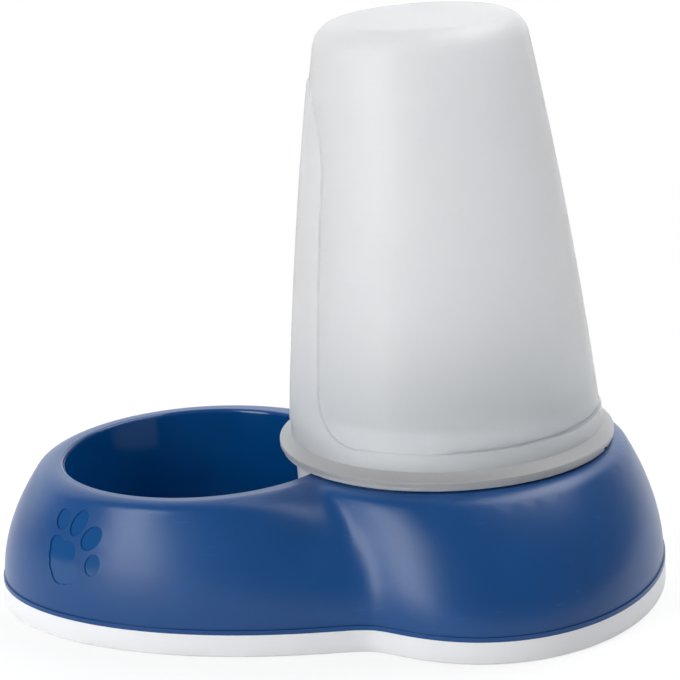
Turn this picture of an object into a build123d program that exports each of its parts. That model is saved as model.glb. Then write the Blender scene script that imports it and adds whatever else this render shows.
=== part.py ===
from build123d import *
import os
from math import cos, pi, sin, sqrt, tan, radians

# Pet water dispenser: a figure-8 base with a drinking bowl and a tank well, a soft ring
# round its foot, and a frosted tank that stands upside down in the well on its closure.
# Millimetres, +X from the bowl to the tank, -Y to the side with the paw print, +Z up.
# The origin is on the floor, in the middle of the base.

# Base, seen from above: two lobes, round at the rim and egg-shaped at the foot
bowl_x = -57.0
tank_x = 54.0
bowl_rim_radius = 72.0
tank_rim_radius = 79.5
bowl_foot_x = -19.0
bowl_foot_length = 131.0
bowl_foot_width = 89.5
tank_foot_x = 68.0
tank_foot_length = 82.0
tank_foot_width = 109.5
foot_waist_blend = 11.0
rim_waist_blend = 9.0

# Base, seen from the side
rim_height = 64.0
wall_crown = 1.9
base_wall = 2.6
rim_round_width = 5.5
rim_round_height = 4.0
rim_inner_round = 1.6
foot_lip_height = 2.0
foot_lip_depth = 0.7

# Soft ring that the skirt stands in
ring_height = 10.0
ring_floor = 3.0
ring_outer_wall = 2.6
ring_inner_wall = 2.4
ring_inner_height = 8.0
ring_edge_round = 0.8
skirt_edge = 2.4

# Basin: the drinking bowl and the tank well, open to each other
basin_floor_z = 14.0
bowl_mouth_radius = 62.0
bowl_draft = 8.0
bowl_corner = 9.0
well_mouth_radius = 70.6
well_draft = 3.0
well_corner = 6.0
seat_lip_height = 0.8
seat_lip_width = 2.4
seat_inner_round = 1.0
mouth_spare = 6.0

# Closure: the cup that plugs the tank's mouth and stands in the well
closure_flange_radius = 74.2
closure_flange = 2.0
closure_wall = 1.8
neck_clearance = 2.0
neck_depth = 20.8
neck_draft = 2.5
closure_floor = 2.0
plug_height = 19.0
plug_wall = 2.2
plug_clearance = 0.5
pry_notch_angle = -22.0
pry_notch_width = 5.0
pry_notch_depth = 3.0

# Seal ring in the plug's groove
seal_width = 3.0
seal_groove_depth = 1.2
seal_above_flange = 7.0
seal_running_gap = 0.05

# Tank
reservoir_flange_radius = 75.2
reservoir_flange = 2.0
reservoir_wall = 2.0
mouth_bore_radius = 65.5
mouth_bore_height = 24.0
band_radius = 69.8
band_start = 5.0
band_end = 12.7
body_foot_radius = 69.2
body_foot_height = 15.0
body_middle_radius = 60.2
body_middle_height = 95.0
body_top_radius = 45.2
body_height = 191.5
body_top_round = 12.0
body_lean = 1.53

# Raised panel on the tank's bowl side
panel_proud = 0.9
panel_foot_half = 38.0
panel_shoulder_half = 31.0
panel_flare = 20.0
panel_flare_height = 24.0
panel_shoulder_height = 120.0
panel_arch_height = 46.0

# Outlet valve in the closure's floor, drawn as it is with the tank in place: pushed open
outlet_radius = 8.5
outlet_wall = 2.0
outlet_skirt = 4.0
outlet_seat_rise = 3.0
valve_lift = 6.0
stem_radius = 2.5
stem_tip_radius = 1.9
stem_running_gap = 0.05
stem_foot_radius = 6.5
stem_foot = 2.3
stem_snap = 0.5
guide_hub_radius = 4.6
guide_depth = 4.0
spoke_width = 2.2
spoke_count = 3
washer_radius = 11.0
washer_thickness = 2.0
cap_radius = 11.4
cap_thickness = 2.0
cap_hub_radius = 3.6
cap_hub_rise = 2.0
spring_wire = 0.8
spring_radius = 4.0
spring_turns = 5
spring_length = 9.4

# Post in the well that pushes the valve open
post_top_radius = 5.0
post_foot_radius = 6.2
post_wall = 2.0
post_gap = 0.3

# Paw print sunk in the base's outer face, drawn on an upright plane outside the bowl.
# The pad's rounds are across, up, radius; the toes across, up, two half-sizes and turn.
paw_spot = (-111.0, -57.0, 40.0)
paw_facing = -130.0
paw_depth = 0.5
paw_reach = 20.0
paw_pad = [(-9.8, 0.7, 4.6), (-3.3, -0.3, 4.4), (-9.6, -3.2, 4.9), (-8.8, -6.8, 5.1), (-7.0, -10.0, 5.2),
           (-4.3, -9.7, 5.2), (-1.6, -9.0, 5.2)]
paw_toes = [(-8.8, 12.1, 3.6, 4.5, -27.0), (1.3, 12.3, 3.5, 6.3, -35.0),
            (9.1, 7.1, 4.0, 6.2, -47.0), (10.9, -4.1, 3.6, 4.8, -23.0)]

# Worked out from the sizes above
skirt_start = ring_height + foot_lip_height
seat_z = rim_height + seat_lip_height
closure_floor_z = seat_z - neck_depth
neck_radius = well_mouth_radius - neck_clearance
plug_radius = mouth_bore_radius - plug_clearance
plug_foot_z = seat_z + closure_flange
plug_top_z = plug_foot_z + plug_height
outlet_seat_z = closure_floor_z + closure_floor + outlet_seat_rise
guide_z = closure_floor_z + closure_floor - guide_depth
stem_foot_top_z = guide_z - spring_length
stem_foot_z = stem_foot_top_z - stem_foot
post_top_z = stem_foot_z - post_gap
washer_z = outlet_seat_z + valve_lift + stem_running_gap
cap_z = washer_z + washer_thickness
cap_top_z = cap_z + cap_thickness + cap_hub_rise
outline_points = 72
wall_sections = 12
round_sections = 5


def ellipse_reach(centre, half_length, half_width, angle):
    """Distance from the origin to a lobe's edge, in one direction."""
    across, along = cos(angle) / half_length, sin(angle) / half_width
    a = across ** 2 + along ** 2
    b = -2 * across * centre / half_length
    c = (centre / half_length) ** 2 - 1
    return (-b + sqrt(b * b - 4 * a * c)) / (2 * a)


def base_outline(z, inset=0.0):
    """Edge of the base's outer face at one height, drawn in by inset."""
    rise = min(max((z - skirt_start) / (rim_height - skirt_start), 0.0), 1.0) ** wall_crown

    def between(foot, rim):
        return foot + (rim - foot) * rise

    blend = between(foot_waist_blend, rim_waist_blend)
    points = []
    for i in range(outline_points):
        angle = 2 * pi * i / outline_points
        bowl = ellipse_reach(between(bowl_foot_x, bowl_x), between(bowl_foot_length, bowl_rim_radius),
                             between(bowl_foot_width, bowl_rim_radius), angle)
        tank = ellipse_reach(between(tank_foot_x, tank_x), between(tank_foot_length, tank_rim_radius),
                             between(tank_foot_width, tank_rim_radius), angle)
        reach = (bowl + tank + sqrt((bowl - tank) ** 2 + blend ** 2)) / 2 - inset
        points.append((reach * cos(angle), reach * sin(angle), z))
    return Wire([Edge.make_spline([Vector(*p) for p in points], periodic=True)])


def skirt_solid(bottom, top, inset):
    """Upright solid inside the foot's outline."""
    return extrude(Face(base_outline(bottom, inset)), amount=top - bottom, dir=(0, 0, 1))


def wall_solid(top, inset):
    """Solid inside the curved outer wall, with its upper edge rounded over."""
    round_start = top - rim_round_height
    sections = []
    for i in range(wall_sections + 1):
        share = (1 - cos(pi * i / wall_sections)) / 2
        sections.append(base_outline(skirt_start + (round_start - skirt_start) * share, inset))
    for i in range(1, round_sections + 1):
        turn = pi / 2 * i / round_sections
        sections.append(base_outline(round_start + rim_round_height * sin(turn),
                                     inset + rim_round_width * (1 - cos(turn))))
    return Solid.make_loft(sections)


def turned(profile, x=0.0):
    """Solid turned about an upright axis from (radius, height) points."""
    face = make_face(Polyline(*[(r, 0, z) for r, z in profile], close=True))
    return Pos(x, 0, 0) * revolve(face, axis=Axis.Z)


def tube(outer, inner, bottom, top, x=0.0):
    """Upright ring with a square section."""
    return turned([(inner, bottom), (outer, bottom), (outer, top), (inner, top)], x)


def rod(radius, bottom, top, x=0.0):
    """Upright cylinder."""
    return Pos(x, 0, bottom) * Cylinder(radius, top - bottom, align=(Align.CENTER, Align.CENTER, Align.MIN))


def basin_form(x, mouth_radius, draft, corner, grow, top):
    """Tapered bowl with a rounded floor, drawn out by grow on every side."""
    floor = basin_floor_z - grow
    floor_radius = mouth_radius - (rim_height - basin_floor_z) * tan(radians(draft)) + grow
    top_radius = mouth_radius + (top - rim_height) * tan(radians(draft)) + grow
    form = Pos(x, 0, floor) * Cone(floor_radius, top_radius, top - floor,
                                   align=(Align.CENTER, Align.CENTER, Align.MIN))
    return fillet(form.edges().sort_by(Axis.Z)[0], corner + grow)


def basin_mouth(x, radius, edge_round, top):
    """Space over a basin, with the rounded inner edge of its mouth."""
    edge = ThreePointArc((radius, 0, top - edge_round),
                         (radius + edge_round * (1 - sqrt(0.5)), 0, top - edge_round * (1 - sqrt(0.5))),
                         (radius + edge_round, 0, top))
    rest = Polyline((radius + edge_round, 0, top), (radius + edge_round, 0, rim_height + mouth_spare),
                    (0, 0, rim_height + mouth_spare), (0, 0, top - edge_round), (radius, 0, top - edge_round))
    return Pos(x, 0, 0) * revolve(make_face([edge, rest]), axis=Axis.Z)


def paw_prisms():
    """Pad and toes of the paw print, run through the base's wall."""
    facing = Vector(cos(radians(paw_facing)), sin(radians(paw_facing)), 0)
    place = Plane(origin=Vector(*paw_spot) - facing * paw_reach, x_dir=Vector(-facing.Y, facing.X, 0),
                  z_dir=facing)
    pad = Sketch() + [Pos(x, y) * Circle(r) for x, y, r in paw_pad]
    toes = Sketch() + [Pos(x, y) * Rot(0, 0, turn) * Ellipse(w, h) for x, y, w, h, turn in paw_toes]
    return [extrude(place * face, amount=2 * paw_reach) for face in pad.faces() + toes.faces()]


def base_shell():
    """One moulding: skirt, rim, bowl, tank well, the tank's seat and the valve post."""
    outer = wall_solid(rim_height, foot_lip_depth)
    outer += skirt_solid(ring_height, skirt_start, 0.0)
    outer += skirt_solid(ring_floor, ring_height + 0.5, ring_outer_wall)
    hollow = wall_solid(rim_height - base_wall, foot_lip_depth + base_wall)
    hollow += skirt_solid(0.0, skirt_start + 0.5, ring_outer_wall + skirt_edge)
    shell = outer - hollow
    basin_top = rim_height - rim_inner_round
    bowl = (bowl_x, bowl_mouth_radius, bowl_draft, bowl_corner)
    well = (tank_x, well_mouth_radius, well_draft, well_corner)
    shell += basin_form(*bowl, base_wall, basin_top) + basin_form(*well, base_wall, basin_top)
    shell += tube(well_mouth_radius + seat_lip_width, well_mouth_radius - 2.0,
                  rim_height - base_wall / 2, seat_z, tank_x)
    water = basin_form(*bowl, 0.0, rim_height) + basin_form(*well, 0.0, rim_height)
    water += basin_mouth(bowl_x, bowl_mouth_radius, rim_inner_round, rim_height)
    water += basin_mouth(tank_x, well_mouth_radius, seat_inner_round, seat_z)
    shell -= water
    post_height = post_top_z - basin_floor_z + base_wall
    post = Pos(tank_x, 0, basin_floor_z - base_wall) * Cone(
        post_foot_radius, post_top_radius, post_height, align=(Align.CENTER, Align.CENTER, Align.MIN))
    bore = rod(post_top_radius - post_wall, basin_floor_z - 2 * base_wall, post_top_z - base_wall, tank_x)
    shell = (shell + post) - bore
    inside_print = wall_solid(rim_height, foot_lip_depth + paw_depth)
    for prism in paw_prisms():
        shell -= prism - inside_print
    return shell


def anti_slip_ring():
    """Soft ring with a channel that takes the skirt's edge."""
    ring = skirt_solid(0.0, ring_height, 0.0)
    ring = fillet(ring.edges().sort_by(Axis.Z)[0], ring_edge_round)
    channel_inner = ring_outer_wall + skirt_edge
    ring -= skirt_solid(0.0, ring_height, channel_inner + ring_inner_wall)
    ring -= skirt_solid(ring_floor, ring_height, ring_outer_wall) - skirt_solid(
        ring_floor, ring_inner_height, channel_inner)
    return ring


def closure():
    """Cup with a flange, a plug for the tank's mouth and a guide for the valve."""
    neck_foot = neck_radius - neck_depth * tan(radians(neck_draft))
    groove_z = plug_foot_z + seal_above_flange
    groove = plug_radius - seal_groove_depth
    plug_inner = plug_radius - plug_wall
    seat_outer = outlet_radius + outlet_wall
    cup = turned([
        (outlet_radius, closure_floor_z - outlet_skirt), (seat_outer, closure_floor_z - outlet_skirt),
        (seat_outer, closure_floor_z), (neck_foot, closure_floor_z), (neck_radius, seat_z),
        (closure_flange_radius, seat_z), (closure_flange_radius, plug_foot_z), (plug_radius, plug_foot_z),
        (plug_radius, groove_z), (groove, groove_z), (groove, groove_z + seal_width),
        (plug_radius, groove_z + seal_width), (plug_radius, plug_top_z - 1.0),
        (plug_radius - 1.0, plug_top_z), (plug_inner, plug_top_z), (plug_inner, plug_foot_z),
        (neck_radius - closure_wall - 2.0, seat_z),
        (neck_foot - closure_wall, closure_floor_z + closure_floor),
        (seat_outer, closure_floor_z + closure_floor), (seat_outer, outlet_seat_z),
        (outlet_radius, outlet_seat_z)], tank_x)
    hub = tube(guide_hub_radius, stem_radius + stem_running_gap, guide_z, guide_z + guide_depth, tank_x)
    for i in range(spoke_count):
        length = outlet_radius + outlet_wall / 2 - guide_hub_radius + 0.5
        spoke = Pos(guide_hub_radius - 0.5 + length / 2, 0, guide_z + guide_depth / 2) * Box(
            length, spoke_width, guide_depth)
        hub += Pos(tank_x, 0, 0) * Rot(0, 0, 360.0 * i / spoke_count) * spoke
    notch = Pos(closure_flange_radius, 0, seat_z + closure_flange / 2) * Box(
        2 * pry_notch_depth, pry_notch_width, closure_flange)
    return cup + hub - Pos(tank_x, 0, 0) * Rot(0, 0, pry_notch_angle) * notch


def closure_seal():
    """Soft ring that closes the gap between the plug and the tank's mouth."""
    groove_z = plug_foot_z + seal_above_flange
    return tube(mouth_bore_radius - seal_running_gap, plug_radius - seal_groove_depth,
                groove_z, groove_z + seal_width, tank_x)


def body_form(grow, start, top):
    """Tank's barrelled body about its own leaning axis, drawn out by grow."""
    foot = (body_foot_radius + grow, body_foot_height)
    middle = (body_middle_radius + grow, body_middle_height)
    crown = (body_top_radius + grow, body_height)
    side = ThreePointArc((foot[0], 0, foot[1]), (middle[0], 0, middle[1]), (crown[0], 0, crown[1]))
    below = Polyline((crown[0], 0, crown[1]), (0, 0, crown[1]), (0, 0, foot[1]), (foot[0], 0, foot[1]))
    form = revolve(make_face([side, below]), axis=Axis.Z)
    form &= Pos(0, 0, start) * Cylinder(2 * body_foot_radius, top - start,
                                        align=(Align.CENTER, Align.CENTER, Align.MIN))
    form = fillet(form.edges().sort_by(Axis.Z)[-1], body_top_round + min(grow, 0.0))
    return Pos(tank_x, 0, seat_z) * Rot(0, -body_lean, 0) * form


def panel_prism():
    """Outline of the raised panel, run through the tank's bowl side."""
    foot_z = plug_foot_z + band_end - 0.3
    flare_z = foot_z + panel_flare_height
    shoulder_z = seat_z + panel_shoulder_height
    flared = panel_foot_half + panel_flare

    edges = [EllipticalCenterArc((0, shoulder_z), panel_shoulder_half, panel_arch_height, 0, arc_size=180),
             Line((-flared, foot_z), (flared, foot_z))]
    for side, start in ((1, 180), (-1, 270)):
        edges.append(Line((side * panel_foot_half, flare_z), (side * panel_shoulder_half, shoulder_z)))
        edges.append(EllipticalCenterArc((side * flared, flare_z), panel_flare, panel_flare_height,
                                         start, arc_size=90))
    face = make_face(edges)
    upright = Plane(origin=(tank_x - 10.0, 0, 0), x_dir=(0, -1, 0), z_dir=(-1, 0, 0))
    return extrude(upright * face, amount=body_foot_radius + 20.0)


def reservoir():
    """Frosted tank: flange, band round the mouth, leaning body and raised panel."""
    flange_z = plug_foot_z
    mouth_top = flange_z + mouth_bore_height - seat_z
    outer = body_form(0.0, body_foot_height, body_height)
    foot = turned([(0, flange_z), (reservoir_flange_radius, flange_z),
                   (reservoir_flange_radius, flange_z + reservoir_flange),
                   (band_radius, flange_z + band_start), (band_radius, flange_z + band_end),
                   (body_foot_radius - 1.5, flange_z + band_end + 0.4),
                   (body_foot_radius - 1.5, flange_z + body_foot_height),
                   (0, flange_z + body_foot_height)], tank_x)
    panel = body_form(panel_proud, body_foot_height, body_height) & panel_prism()
    inside = body_form(-reservoir_wall, mouth_top - 1.0, body_height - reservoir_wall)
    bore = rod(mouth_bore_radius, flange_z, seat_z + mouth_top, tank_x)
    return (outer + foot + panel) - inside - bore


def valve_stem():
    """Stem with its foot; the tip snaps into the cap."""
    barb = cap_top_z + stem_snap
    return turned([
        (0, stem_foot_z), (stem_foot_radius, stem_foot_z), (stem_foot_radius, stem_foot_top_z),
        (stem_radius, stem_foot_top_z), (stem_radius, washer_z), (stem_tip_radius, washer_z),
        (stem_tip_radius, cap_top_z), (stem_tip_radius + stem_snap, cap_top_z),
        (stem_tip_radius, barb + stem_snap), (0, barb + stem_snap)], tank_x)


def valve_cap():
    """Disc that holds the washer down on the outlet's seat."""
    return turned([
        (stem_tip_radius, washer_z), (cap_hub_radius, washer_z), (cap_hub_radius, cap_z),
        (cap_radius, cap_z), (cap_radius, cap_z + cap_thickness - 0.5),
        (cap_radius - 0.5, cap_z + cap_thickness), (cap_hub_radius, cap_z + cap_thickness),
        (cap_hub_radius, cap_top_z), (stem_tip_radius, cap_top_z)], tank_x)


def valve_washer():
    """Soft disc that seals on the outlet's seat."""
    return tube(washer_radius, cap_hub_radius, washer_z, cap_z, tank_x)


def valve_spring():
    """Coil between the guide and the stem's foot, one unbroken tube."""
    rise = spring_length - spring_wire - 0.2
    path = Helix(pitch=rise / spring_turns, height=rise, radius=spring_radius)
    start = path @ 0
    section = Plane(origin=start, z_dir=path % 0) * Circle(spring_wire / 2)
    coil = sweep(section, path=path)
    return Pos(tank_x, 0, stem_foot_top_z + spring_wire / 2 + 0.1) * coil


if __name__ == "__main__":
    os.makedirs("parts", exist_ok=True)
    pieces = {
        "base_shell": base_shell, "anti_slip_ring": anti_slip_ring, "closure": closure,
        "closure_seal": closure_seal, "reservoir": reservoir, "valve_stem": valve_stem,
        "valve_cap": valve_cap, "valve_washer": valve_washer, "valve_spring": valve_spring,
    }
    for name, make in pieces.items():
        export_step(make(), f"parts/{name}.step")
        print(name)
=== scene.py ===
import math
import bpy
from mathutils import Matrix, Vector

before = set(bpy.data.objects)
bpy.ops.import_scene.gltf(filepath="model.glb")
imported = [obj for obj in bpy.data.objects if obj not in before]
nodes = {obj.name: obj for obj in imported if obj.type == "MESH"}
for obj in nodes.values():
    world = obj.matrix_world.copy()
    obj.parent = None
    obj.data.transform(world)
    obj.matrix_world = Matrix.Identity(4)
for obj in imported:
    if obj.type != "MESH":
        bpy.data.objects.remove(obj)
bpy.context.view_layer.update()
print("frame loaded,", len(nodes), "pieces")


def link(tree, source, target):
    tree.links.new(source, target)


def feed(tree, value, target):  # value is another node's output, a number or a colour
    if isinstance(value, bpy.types.NodeSocket):
        link(tree, value, target)
    else:
        target.default_value = value


def feedAll(tree, node, values):
    for name, value in values.items():
        feed(tree, value, node.inputs[name])


def mathNode(tree, operation, first, second=None, clamp=False):
    node = tree.nodes.new("ShaderNodeMath")
    node.operation = operation
    node.use_clamp = clamp
    feed(tree, first, node.inputs[0])
    if second is not None:
        feed(tree, second, node.inputs[1])
    return node.outputs[0]


def inverted(tree, value):
    return mathNode(tree, "SUBTRACT", 1.0, value)


def diagonal(tree, first, second):
    squares = [mathNode(tree, "MULTIPLY", value, value) for value in (first, second)]
    return mathNode(tree, "SQRT", mathNode(tree, "ADD", *squares))


def dotWith(tree, vector, direction):
    node = tree.nodes.new("ShaderNodeVectorMath")
    node.operation = "DOT_PRODUCT"
    link(tree, vector, node.inputs[0])
    node.inputs[1].default_value = direction
    return node.outputs["Value"]


def smoothStep(tree, value, low, high):  # 0 under low, 1 over high
    node = tree.nodes.new("ShaderNodeMapRange")
    node.interpolation_type = "SMOOTHSTEP"
    feedAll(tree, node, {"Value": value, "From Min": low, "From Max": high})
    return node.outputs["Result"]


def mixColour(tree, amount, first, second):
    node = tree.nodes.new("ShaderNodeMix")
    node.data_type = "RGBA"
    for slot, value in ((0, amount), (6, first), (7, second)):  # a Mix node's colour sockets
        feed(tree, value, node.inputs[slot])
    return node.outputs[2]


def mixValue(tree, amount, first, second):
    node = tree.nodes.new("ShaderNodeMix")
    for slot, value in ((0, amount), (2, first), (3, second)):  # and its number sockets
        feed(tree, value, node.inputs[slot])
    return node.outputs[0]


def mixShaders(tree, share, first, second, output):
    node = tree.nodes.new("ShaderNodeMixShader")
    for slot, source in enumerate((share, first, second)):
        link(tree, source, node.inputs[slot])
    link(tree, node.outputs[0], output.inputs["Surface"])


def noiseField(tree, vector, scale, detail, roughness):
    node = tree.nodes.new("ShaderNodeTexNoise")
    feedAll(tree, node, {"Vector": vector, "Scale": scale, "Detail": detail, "Roughness": roughness})
    return node.outputs["Fac"]


def bumpFrom(tree, height, strength, distance):
    node = tree.nodes.new("ShaderNodeBump")
    feedAll(tree, node, {"Strength": strength, "Distance": distance, "Height": height})
    return node.outputs["Normal"]


def splitAxes(tree, coordinates):
    node = tree.nodes.new("ShaderNodeSeparateXYZ")
    link(tree, coordinates, node.inputs[0])
    return node.outputs


def axisDistance(tree, xyz, centre):  # distance from an upright axis
    return diagonal(tree, *(mathNode(tree, "SUBTRACT", xyz[slot], centre[slot]) for slot in (0, 1)))


def newMaterial(name):
    material = bpy.data.materials.new(name)
    material.use_nodes = True
    tree = material.node_tree
    tree.nodes.clear()
    shader = tree.nodes.new("ShaderNodeBsdfPrincipled")
    output = tree.nodes.new("ShaderNodeOutputMaterial")
    link(tree, shader.outputs["BSDF"], output.inputs["Surface"])
    coordinates = tree.nodes.new("ShaderNodeTexCoord").outputs["Object"]
    return material, tree, shader, coordinates


def dress(nodeName, material):
    mesh = nodes[nodeName].data
    mesh.materials.clear()
    mesh.materials.append(material)


def newGroup(name, inputs, outputs):
    tree = bpy.data.node_groups.new(name, "ShaderNodeTree")
    tree.interface.new_socket("Vector", in_out="INPUT", socket_type="NodeSocketVector")
    for direction, sockets in (("INPUT", inputs), ("OUTPUT", outputs)):
        for socket in sockets:
            tree.interface.new_socket(socket, in_out=direction, socket_type="NodeSocketFloat")
    return tree, tree.nodes.new("NodeGroupInput").outputs, tree.nodes.new("NodeGroupOutput")


def useGroup(tree, group, coordinates, values):
    node = tree.nodes.new("ShaderNodeGroup")
    node.node_tree = group
    feedAll(tree, node, {"Vector": coordinates, **values})
    return node.outputs


grainField = {
    "fineDetail": 3.0,
    "fineRoughness": 0.62,
    "broadDetail": 1.5,
    "broadRoughness": 0.5,
}


def mouldedGrainGroup(field):
    tree, start, end = newGroup("mouldedGrain", ("Fine", "Broad", "Broad Share"), ("Height", "Drift"))
    fine = noiseField(  # spark-eroded mould texture
        tree, start["Vector"], start["Fine"], field["fineDetail"], field["fineRoughness"])
    broad = noiseField(  # slow drift of the melt
        tree, start["Vector"], start["Broad"], field["broadDetail"], field["broadRoughness"])
    swell = mathNode(tree, "MULTIPLY", broad, start["Broad Share"])
    feedAll(tree, end, {"Height": mathNode(tree, "ADD", fine, swell), "Drift": broad})
    return tree


marksField = {
    "turn": (0.5, 0.3, 0.9),
    "stretch": (1.0, 5.0, 9.0),
    "streaks": (55.0, 4.0, 0.7),  # scale, detail and roughness
    "streakRange": (0.60, 0.72),
    "patches": (24.0, 2.0, 0.5),
    "patchRange": (0.46, 0.62),
}


def handlingMarksGroup(field):
    tree, start, end = newGroup("handlingMarks", ("Amount",), ("Marks",))
    stretch = tree.nodes.new("ShaderNodeMapping")
    feedAll(tree, stretch, {
        "Vector": start["Vector"], "Rotation": field["turn"], "Scale": field["stretch"]})
    streaks = noiseField(tree, stretch.outputs[0], *field["streaks"])
    patches = noiseField(tree, start["Vector"], *field["patches"])
    fine = mathNode(tree, "MULTIPLY", smoothStep(tree, streaks, *field["streakRange"]),
                    smoothStep(tree, patches, *field["patchRange"]))
    feedAll(tree, end, {"Marks": mathNode(tree, "MULTIPLY", fine, start["Amount"])})
    return tree


mouldedGrain = mouldedGrainGroup(grainField)
handlingMarks = handlingMarksGroup(marksField)


def driftedRoughness(tree, rough, drift, amount):  # follows the drift of the melt, half of it each way
    offset = mathNode(tree, "SUBTRACT", drift, 0.5)
    return mathNode(tree, "ADD", rough, mathNode(tree, "MULTIPLY", offset, amount))


baseLook = {
    "blue": (0.0004, 0.049, 0.182, 1.0),
    "deepBlue": (0.0003, 0.044, 0.166, 1.0),
    "printBlue": (0.0001, 0.050, 0.178, 1.0),
    "scuffBlue": (0.02, 0.12, 0.33, 1.0),
    "tintRange": (0.35, 0.65),
    "satinRoughness": 0.30,
    "glossRoughness": 0.10,
    "printRoughness": 0.09,
    "specular": 0.38,
    "grain": {"Fine": 2600.0, "Broad": 26.0, "Broad Share": 0.15},
    "marks": 0.30,
    "driftAmount": 0.06,
    "markRoughness": 0.12,
    "bump": (0.35, 0.00006),  # strength and distance
    "glossBump": 0.04,  # share of the grain that glossy faces keep
    "bowlAxis": (-0.057, 0.0),
    "bowlGlossRadius": 0.0634,
    "wellAxis": (0.054, 0.0),
    "wellGlossRadius": 0.0716,
    "glossEdge": 0.0006,
    "basinFloor": 0.0132,
}

millimetre = 0.001

printLook = {
    "spot": (-0.111, -0.057, 0.040),
    "facing": math.radians(-130.0),
    "behind": -0.02,  # the far side of the base takes no print
    "grow": 0.0002,
    "edge": 0.00015,
    "pad": [(-9.8, 0.7, 4.6), (-3.3, -0.3, 4.4), (-9.6, -3.2, 4.9), (-8.8, -6.8, 5.1),
            (-7.0, -10.0, 5.2), (-4.3, -9.7, 5.2), (-1.6, -9.0, 5.2)],  # across, up and radius, in mm
    "toes": [(-8.8, 12.1, 3.6, 4.5, -27.0), (1.3, 12.3, 3.5, 6.3, -35.0),
             (9.1, 7.1, 4.0, 6.2, -47.0), (10.9, -4.1, 3.6, 4.8, -23.0)],  # half sizes, turn in degrees
}


def ovalEdge(tree, flat, x, y, halfWidth, halfHeight, turn):  # negative inside, in metres
    c, s = math.cos(math.radians(turn)), math.sin(math.radians(turn))
    dx = mathNode(tree, "SUBTRACT", flat["across"], x * millimetre)
    dy = mathNode(tree, "SUBTRACT", flat["up"], y * millimetre)
    along = mathNode(tree, "ADD", mathNode(tree, "MULTIPLY", dx, c),
                     mathNode(tree, "MULTIPLY", dy, s))
    over = mathNode(tree, "SUBTRACT", mathNode(tree, "MULTIPLY", dy, c),
                    mathNode(tree, "MULTIPLY", dx, s))
    size = diagonal(tree, mathNode(tree, "DIVIDE", along, halfWidth * millimetre),
                    mathNode(tree, "DIVIDE", over, halfHeight * millimetre))
    reach = min(halfWidth, halfHeight) * millimetre
    return mathNode(tree, "MULTIPLY", mathNode(tree, "SUBTRACT", size, 1.0), reach)


def printMask(tree, coordinates, look):
    c, s = math.cos(look["facing"]), math.sin(look["facing"])
    shift = tree.nodes.new("ShaderNodeVectorMath")
    shift.operation = "SUBTRACT"
    link(tree, coordinates, shift.inputs[0])
    shift.inputs[1].default_value = look["spot"]
    directions = {"across": (-s, c, 0.0), "up": (0.0, 0.0, 1.0), "out": (c, s, 0.0)}
    flat = {name: dotWith(tree, shift.outputs[0], direction) for name, direction in directions.items()}
    rounds = [(x, y, radius, radius, 0.0) for x, y, radius in look["pad"]]
    edges = [ovalEdge(tree, flat, *shape) for shape in rounds + look["toes"]]
    nearest = edges[0]
    for edge in edges[1:]:
        nearest = mathNode(tree, "MINIMUM", nearest, edge)
    outside = smoothStep(tree, nearest, look["grow"] - look["edge"], look["grow"] + look["edge"])
    facingOut = mathNode(tree, "GREATER_THAN", flat["out"], look["behind"])
    return mathNode(tree, "MULTIPLY", inverted(tree, outside), facingOut)


def basinMask(tree, xyz, look):  # the polished bowl and well
    rounds = []
    for hollow in ("bowl", "well"):
        radius = look[hollow + "GlossRadius"]
        outward = axisDistance(tree, xyz, look[hollow + "Axis"])
        rounds.append(inverted(tree, smoothStep(tree, outward, radius - look["glossEdge"], radius)))
    overFloor = mathNode(tree, "GREATER_THAN", xyz[2], look["basinFloor"])
    return mathNode(tree, "MULTIPLY", mathNode(tree, "MAXIMUM", *rounds), overFloor)


def basePlastic(look, printed):
    material, tree, shader, coordinates = newMaterial("basePlastic")
    grain = useGroup(tree, mouldedGrain, coordinates, look["grain"])
    marks = useGroup(tree, handlingMarks, coordinates, {"Amount": look["marks"]})["Marks"]
    basin = basinMask(tree, splitAxes(tree, coordinates), look)
    sunk = printMask(tree, coordinates, printed)
    satin = inverted(tree, mathNode(tree, "MAXIMUM", basin, sunk))
    blend = smoothStep(tree, grain["Drift"], *look["tintRange"])
    tint = mixColour(tree, blend, look["deepBlue"], look["blue"])
    scuffed = mixColour(tree, mathNode(tree, "MULTIPLY", marks, satin), tint, look["scuffBlue"])
    rough = mixValue(tree, basin, look["satinRoughness"], look["glossRoughness"])
    rough = mixValue(tree, sunk, rough, look["printRoughness"])
    rough = driftedRoughness(tree, rough, grain["Drift"], look["driftAmount"])
    worn = mathNode(tree, "MULTIPLY", marks, look["markRoughness"])
    kept = mathNode(tree, "ADD", satin, look["glossBump"])
    height = mathNode(tree, "MULTIPLY", grain["Height"], kept)
    feedAll(tree, shader, {
        "Base Color": mixColour(tree, sunk, scuffed, look["printBlue"]),
        "Roughness": mathNode(tree, "ADD", rough, worn, clamp=True),
        "Normal": bumpFrom(tree, height, *look["bump"]),
        "Specular IOR Level": look["specular"],
    })
    return material


dress("base_shell", basePlastic(baseLook, printLook))
print("base finished")


ringLook = {
    "white": (0.70, 0.705, 0.715, 1.0),
    "scuff": (0.60, 0.60, 0.59, 1.0),
    "roughness": 0.55,
    "wornRoughness": 0.2,
    "grain": {"Fine": 1500.0, "Broad": 40.0, "Broad Share": 0.4},
    "marks": 0.8,
    "dustHeights": (0.0005, 0.0045),  # full under the first, none over the second
    "dustRange": (0.42, 0.62),
    "dustShare": 0.35,
    "markShare": 0.30,
    "bump": (0.3, 0.00008),
    "scatterShare": 0.3,
    "scatter": 0.001,
}

evenScatter = (1.0, 1.0, 1.0)


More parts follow.
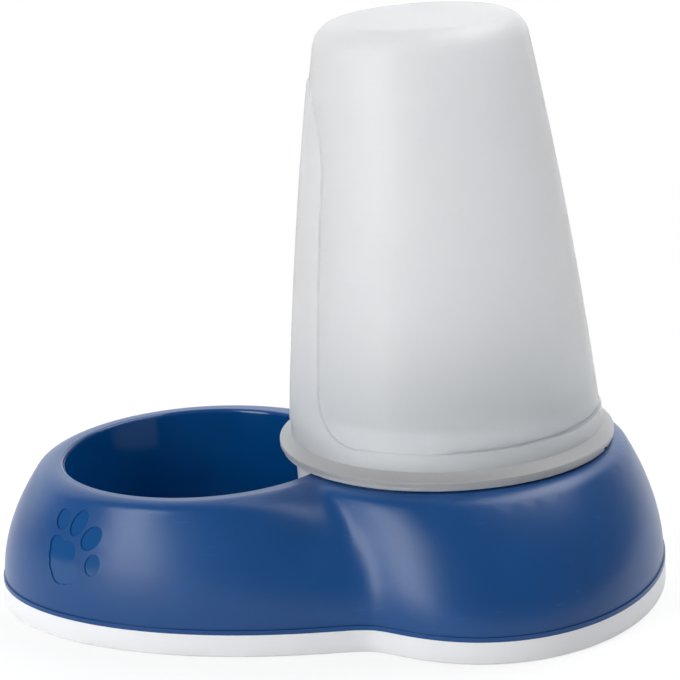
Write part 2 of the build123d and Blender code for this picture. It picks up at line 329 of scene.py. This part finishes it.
def ringRubber(look):
    material, tree, shader, coordinates = newMaterial("ringRubber")
    grain = useGroup(tree, mouldedGrain, coordinates, look["grain"])
    marks = useGroup(tree, handlingMarks, coordinates, {"Amount": look["marks"]})["Marks"]
    low = inverted(tree, smoothStep(tree, splitAxes(tree, coordinates)[2], *look["dustHeights"]))
    dusty = mathNode(tree, "MULTIPLY", low, smoothStep(tree, grain["Drift"], *look["dustRange"]))
    worn = mathNode(tree, "MAXIMUM", mathNode(tree, "MULTIPLY", dusty, look["dustShare"]),
                    mathNode(tree, "MULTIPLY", marks, look["markShare"]))
    rougher = mathNode(tree, "MULTIPLY", worn, look["wornRoughness"])
    feedAll(tree, shader, {
        "Base Color": mixColour(tree, worn, look["white"], look["scuff"]),
        "Roughness": mathNode(tree, "ADD", look["roughness"], rougher, clamp=True),
        "Normal": bumpFrom(tree, grain["Height"], *look["bump"]),
        "Subsurface Weight": look["scatterShare"],
        "Subsurface Radius": evenScatter,
        "Subsurface Scale": look["scatter"],
    })
    return material


dress("anti_slip_ring", ringRubber(ringLook))
print("ring finished")


tankLook = {
    "frost": (0.985, 0.988, 0.995, 1.0),
    "cloud": (0.968, 0.974, 0.985, 1.0),
    # painted reflection: bluish colour for the blue base showing through the frost near the seat
    "paintedBaseReflection": (0.925, 0.965, 0.995, 1.0),
    "paintedReflectionHeights": (0.072, 0.135),  # full under the first, none over the second
    "roughness": 0.46,
    "transmission": 0.58,
    "scatter": 0.016,
    "grain": {"Fine": 2000.0, "Broad": 18.0, "Broad Share": 0.3},
}

closureLook = {
    "frost": (0.97, 0.98, 0.99, 1.0),
    "cloud": (0.95, 0.965, 0.98, 1.0),
    # painted reflection: bluish colour for the blue base showing through the frost near the seat
    "paintedBaseReflection": (0.96, 0.98, 0.995, 1.0),
    "paintedReflectionHeights": (0.06, 0.08),
    "roughness": 0.36,
    "transmission": 0.35,
    "scatter": 0.005,
    "grain": {"Fine": 1700.0, "Broad": 18.0, "Broad Share": 0.3},
}

frostedFinish = {
    "marks": 0.5,
    "cloudRange": (0.3, 0.7),
    "driftAmount": 0.08,
    "markPolish": 0.06,  # marks are a little smoother than the frost
    "bump": (0.25, 0.00006),
    "bending": 1.45,  # index of refraction
}


def frostedPlastic(name, look, finish):
    material, tree, shader, coordinates = newMaterial(name)
    grain = useGroup(tree, mouldedGrain, coordinates, look["grain"])
    marks = useGroup(tree, handlingMarks, coordinates, {"Amount": finish["marks"]})["Marks"]
    cloud = smoothStep(tree, grain["Drift"], *finish["cloudRange"])
    milk = mixColour(tree, cloud, look["cloud"], look["frost"])
    # painted reflection of the blue base: the colour turns bluish low on the part
    paintedReflectionShare = inverted(tree, smoothStep(tree, splitAxes(tree, coordinates)[2], *look["paintedReflectionHeights"]))
    rough = driftedRoughness(tree, look["roughness"], grain["Drift"], finish["driftAmount"])
    polish = mathNode(tree, "MULTIPLY", marks, finish["markPolish"])
    feedAll(tree, shader, {
        "Base Color": mixColour(tree, paintedReflectionShare, milk, look["paintedBaseReflection"]),
        "Roughness": mathNode(tree, "SUBTRACT", rough, polish, clamp=True),
        "Normal": bumpFrom(tree, grain["Height"], *finish["bump"]),
        "Transmission Weight": look["transmission"],
        "IOR": finish["bending"],
        "Subsurface Weight": 1.0,
        "Subsurface Radius": evenScatter,
        "Subsurface Scale": look["scatter"],
    })
    return material


dress("reservoir", frostedPlastic("tankPlastic", tankLook, frostedFinish))
dress("closure", frostedPlastic("closurePlastic", closureLook, frostedFinish))
print("tank and closure finished")


smallLooks = {
    "valvePlastic": {
        "pieces": ("valve_stem", "valve_cap"),
        "colour": (0.82, 0.82, 0.80, 1.0),
        "roughness": 0.4,
        "metallic": 0.0,
        "fine": 1800.0,
    },
    "sealRubber": {
        "pieces": ("valve_washer", "closure_seal"),
        "colour": (0.66, 0.66, 0.64, 1.0),
        "roughness": 0.6,
        "metallic": 0.0,
        "fine": 1200.0,
    },
    "springSteel": {
        "pieces": ("valve_spring",),
        "colour": (0.60, 0.60, 0.58, 1.0),
        "roughness": 0.28,
        "metallic": 1.0,
        "fine": 2600.0,
    },
}

smallFinish = {
    "broad": 160.0,
    "broadShare": 0.5,
    "darkest": 0.86,  # share of the colour left at its darkest
    "driftAmount": 0.1,
    "bump": (0.2, 0.00005),
}


def smallPart(name, look, finish):
    material, tree, shader, coordinates = newMaterial(name)
    grain = useGroup(tree, mouldedGrain, coordinates, {
        "Fine": look["fine"], "Broad": finish["broad"], "Broad Share": finish["broadShare"]})
    darker = tuple(channel * finish["darkest"] for channel in look["colour"][:3]) + (1.0,)
    feedAll(tree, shader, {
        "Base Color": mixColour(tree, grain["Drift"], darker, look["colour"]),
        "Roughness": driftedRoughness(tree, look["roughness"], grain["Drift"], finish["driftAmount"]),
        "Normal": bumpFrom(tree, grain["Height"], *finish["bump"]),
        "Metallic": look["metallic"],
    })
    return material


for name, look in smallLooks.items():
    smallMaterial = smallPart(name, look, smallFinish)
    for piece in look["pieces"]:
        dress(piece, smallMaterial)
print("seal and valve finished")


floorLook = {
    "size": 8.0,
    "height": -0.0002,  # just under the ring
    "colour": (0.88, 0.88, 0.88, 1.0),
    "roughness": 0.9,
    "specular": 0.1,
    "glow": 0.75,
    "glowRange": (0.20, 0.42),  # soft shadow up to the first distance, plain white past the second
}

worldLook = {
    "dark": 0.36,
    "bright": 1.50,
    "colour": (0.95, 0.97, 1.0, 1.0),
    "brightSide": (-0.15, 0.97, 0.20),
    "brightRange": (0.35, 0.75),
    "paper": (1.0, 1.0, 1.0, 1.0),
}

lamps = {
    "keyBox": {
        "place": (-0.84, -0.72, 0.50),
        "aim": (-0.02, -0.02, 0.05),
        "size": (0.48, 1.1),
        "power": 10.8,
    },
    "topBox": {
        "place": (0.55, 0.25, 1.12),
        "aim": (0.05, 0.0, 0.0),
        "size": (0.8, 0.8),
        "power": 9.5,
    },
}

shot = {
    "lookAt": (0.0081, 0.0, 0.1127),
    "distance": 1.14,
    "pitch": 0.276,
    "roll": -0.05,
    "lens": 135.26,
    "sensor": 36.0,
    "clipStart": 0.01,
}


def addFloor(look):
    bpy.ops.object.select_all(action="DESELECT")
    bpy.ops.mesh.primitive_plane_add(size=look["size"], location=(0.0, 0.0, look["height"]))
    floor = bpy.context.object
    floor.name = "floor"
    material, tree, shader, coordinates = newMaterial("floorPaper")
    feedAll(tree, shader, {
        "Base Color": look["colour"],
        "Roughness": look["roughness"],
        "Specular IOR Level": look["specular"],
    })
    away = axisDistance(tree, splitAxes(tree, coordinates), (0.0, 0.0))
    glow = mathNode(tree, "MAXIMUM", smoothStep(tree, away, *look["glowRange"]), look["glow"])
    paths = tree.nodes.new("ShaderNodeLightPath").outputs
    seen = mathNode(tree, "MULTIPLY", glow, paths["Is Camera Ray"])
    white = tree.nodes.new("ShaderNodeEmission")  # white paper for the camera, still with its shadow
    mixShaders(tree, seen, shader.outputs["BSDF"], white.outputs[0], tree.nodes["Material Output"])
    floor.data.materials.append(material)


def addLamp(name, look):
    lamp = bpy.data.lights.new(name, "AREA")
    lamp.shape = "RECTANGLE"
    lamp.size, lamp.size_y = look["size"]
    lamp.energy = look["power"]
    holder = bpy.data.objects.new(name, lamp)
    bpy.context.scene.collection.objects.link(holder)
    place = Vector(look["place"])
    holder.location = place
    holder.rotation_euler = (Vector(look["aim"]) - place).to_track_quat("-Z", "Y").to_euler()


def addWorld(look):
    world = bpy.data.worlds.new("studioWorld")
    bpy.context.scene.world = world
    world.use_nodes = True
    tree = world.node_tree
    tree.nodes.clear()
    direction = tree.nodes.new("ShaderNodeTexCoord").outputs["Generated"]
    toward = dotWith(tree, direction, look["brightSide"])  # a bright field behind, a dim room elsewhere
    share = smoothStep(tree, toward, *look["brightRange"])
    room = tree.nodes.new("ShaderNodeBackground")
    strength = mixValue(tree, share, look["dark"], look["bright"])
    feedAll(tree, room, {"Color": look["colour"], "Strength": strength})
    paper = tree.nodes.new("ShaderNodeBackground")
    paper.inputs["Color"].default_value = look["paper"]
    paths = tree.nodes.new("ShaderNodeLightPath").outputs
    seen = mathNode(tree, "MAXIMUM", paths["Is Camera Ray"], paths["Is Transmission Ray"])
    output = tree.nodes.new("ShaderNodeOutputWorld")
    mixShaders(tree, seen, room.outputs[0], paper.outputs[0], output)


def addCamera(look):
    pitch, roll = look["pitch"], look["roll"]
    back = Vector((0.0, -math.cos(pitch), math.sin(pitch)))
    right = Vector((1.0, 0.0, 0.0))
    up = Vector((0.0, math.sin(pitch), math.cos(pitch)))
    turnedRight = right * math.cos(roll) + up * math.sin(roll)
    turnedUp = up * math.cos(roll) - right * math.sin(roll)
    lens = bpy.data.cameras.new("camera")
    lens.lens = look["lens"]
    lens.sensor_width = look["sensor"]
    lens.clip_start = look["clipStart"]
    camera = bpy.data.objects.new("camera", lens)
    bpy.context.scene.collection.objects.link(camera)
    place = Vector(look["lookAt"]) + back * look["distance"]
    turn = Matrix((turnedRight, turnedUp, back)).transposed().to_4x4()
    camera.matrix_world = Matrix.Translation(place) @ turn
    bpy.context.scene.camera = camera


addFloor(floorLook)
addWorld(worldLook)
for name, look in lamps.items():
    addLamp(name, look)
addCamera(shot)
bpy.context.scene.view_settings.view_transform = "Standard"
print("studio finished")
